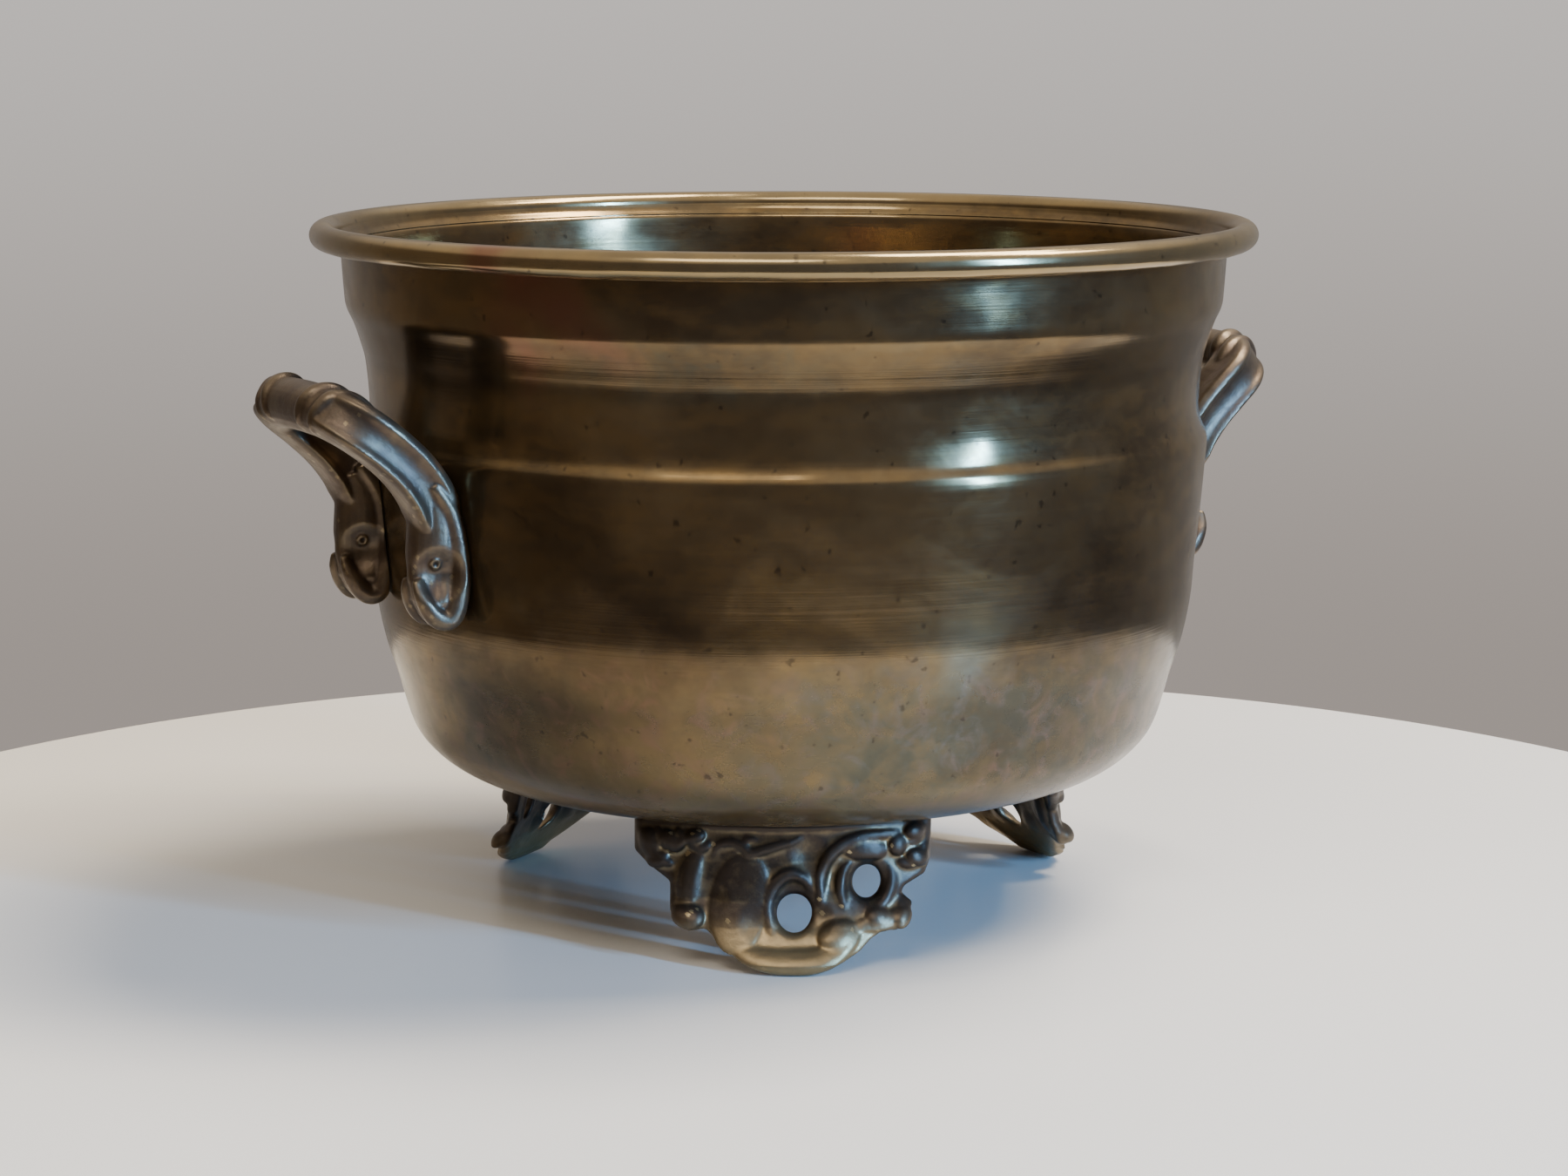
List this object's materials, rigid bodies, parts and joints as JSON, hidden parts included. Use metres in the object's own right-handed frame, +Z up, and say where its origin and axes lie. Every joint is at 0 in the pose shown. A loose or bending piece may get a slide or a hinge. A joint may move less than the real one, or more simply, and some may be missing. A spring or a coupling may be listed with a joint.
{
  "type": "footed planter pot",
  "caption": "Round brass planter pot with a rolled rim, a waisted shoulder, cast scroll handles and cast leaf feet.",
  "frame": {"origin": "on the floor under the middle of the bowl", "axes": "+Z up; the two handles lie on +X and -X; the first foot lies under the +X handle"},
  "size_m": [0.2756, 0.2384, 0.1749],
  "materials": {
    "sheet_brass": "aged, softly polished spun sheet with patina",
    "cast_brass": "aged casting, dark in the hollows and worn bright on the edges",
    "screw_brass": "dull turned brass",
    "iron_wire": "dark drawn iron wire"
  },
  "bodies": {
    "root": {"bowl": "sheet_brass", "rim_wire": "iron_wire", "handle_1": "cast_brass", "handle_2": "cast_brass", "foot_1": "cast_brass", "foot_2": "cast_brass", "foot_3": "cast_brass", "handle_screw_1": "screw_brass", "handle_screw_2": "screw_brass", "handle_screw_3": "screw_brass", "handle_screw_4": "screw_brass", "handle_washer_1": "screw_brass", "handle_washer_2": "screw_brass", "handle_washer_3": "screw_brass", "handle_washer_4": "screw_brass", "foot_screw_1": "screw_brass", "foot_screw_2": "screw_brass", "foot_screw_3": "screw_brass", "foot_screw_4": "screw_brass", "foot_screw_5": "screw_brass", "foot_screw_6": "screw_brass", "foot_washer_1": "screw_brass", "foot_washer_2": "screw_brass", "foot_washer_3": "screw_brass", "foot_washer_4": "screw_brass", "foot_washer_5": "screw_brass", "foot_washer_6": "screw_brass"}
  },
  "joints": []
}
